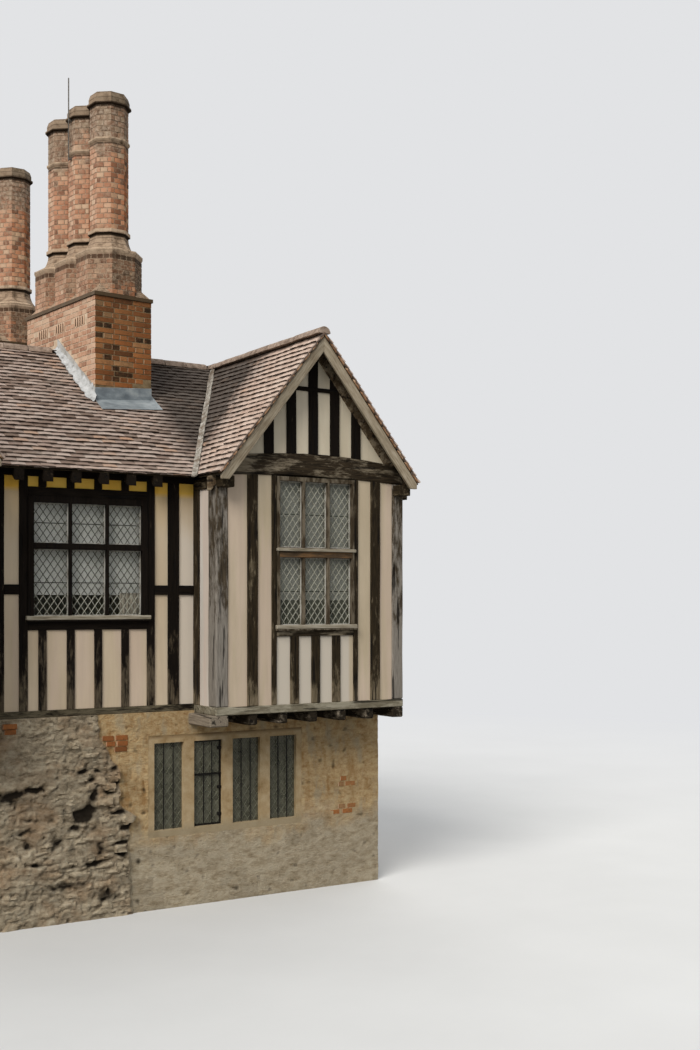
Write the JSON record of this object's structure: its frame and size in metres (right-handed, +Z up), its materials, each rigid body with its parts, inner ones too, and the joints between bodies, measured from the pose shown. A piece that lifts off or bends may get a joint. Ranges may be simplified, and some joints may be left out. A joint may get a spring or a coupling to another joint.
{
  "type": "half timbered house",
  "caption": "Two-storey half timbered house with jettied gabled cross wings on stone walls, tiled roofs and brick chimney stacks.",
  "frame": {"origin": "centre of the plan at the foot of the walls", "axes": "+X to the right along the front, +Y to the back, +Z up; the front faces -Y"},
  "size_m": [7.97, 6.04, 10.3272],
  "materials": {
    "stone": "matt",
    "dressed_stone": "matt",
    "iron": "satin",
    "clear_glass": "gloss",
    "oak": "matt",
    "window_oak": "matt",
    "boards": "matt",
    "barge_oak": "matt",
    "plaster": "matt",
    "blind": "matt",
    "roof_tile": "matt",
    "brick": "matt",
    "lead": "satin"
  },
  "bodies": {
    "root": {"barge_boards": "barge_oak", "bressummers": "oak", "chimney_caps": "brick", "chimney_shafts": "brick", "chimney_stack": "brick", "corner_posts": "oak", "gable_collars": "oak", "gable_plaster": "plaster", "gable_studs": "oak", "hall_plaster": "plaster", "hall_posts": "oak", "hall_rafters": "boards", "hall_rails": "oak", "hall_slope_back": "roof_tile", "hall_slope_front": "roof_tile", "hall_windows": "window_oak", "iron_casements": "iron", "jetty_joists": "oak", "leaded_glass": "clear_glass", "left_inner_slopes": "roof_tile", "left_outer_slope": "roof_tile", "lightning_rod": "iron", "rear_stack": "brick", "ridge_tiles": "roof_tile", "right_inner_slopes": "roof_tile", "right_outer_slope": "roof_tile", "side_plaster": "plaster", "side_sills": "oak", "side_studs": "oak", "stack_flashing": "lead", "stone_wall_back": "stone", "stone_wall_front": "stone", "stone_wall_left": "stone", "stone_wall_right": "stone", "stone_window_glass": "clear_glass", "stone_window_surrounds": "dressed_stone", "tie_beams": "oak", "upper_floor": "boards", "wall_plates": "oak", "window_blinds": "blind", "wing_plaster": "plaster", "wing_rafters": "boards", "wing_rails": "oak", "wing_studs": "oak", "wing_windows": "window_oak"}
  },
  "joints": []
}
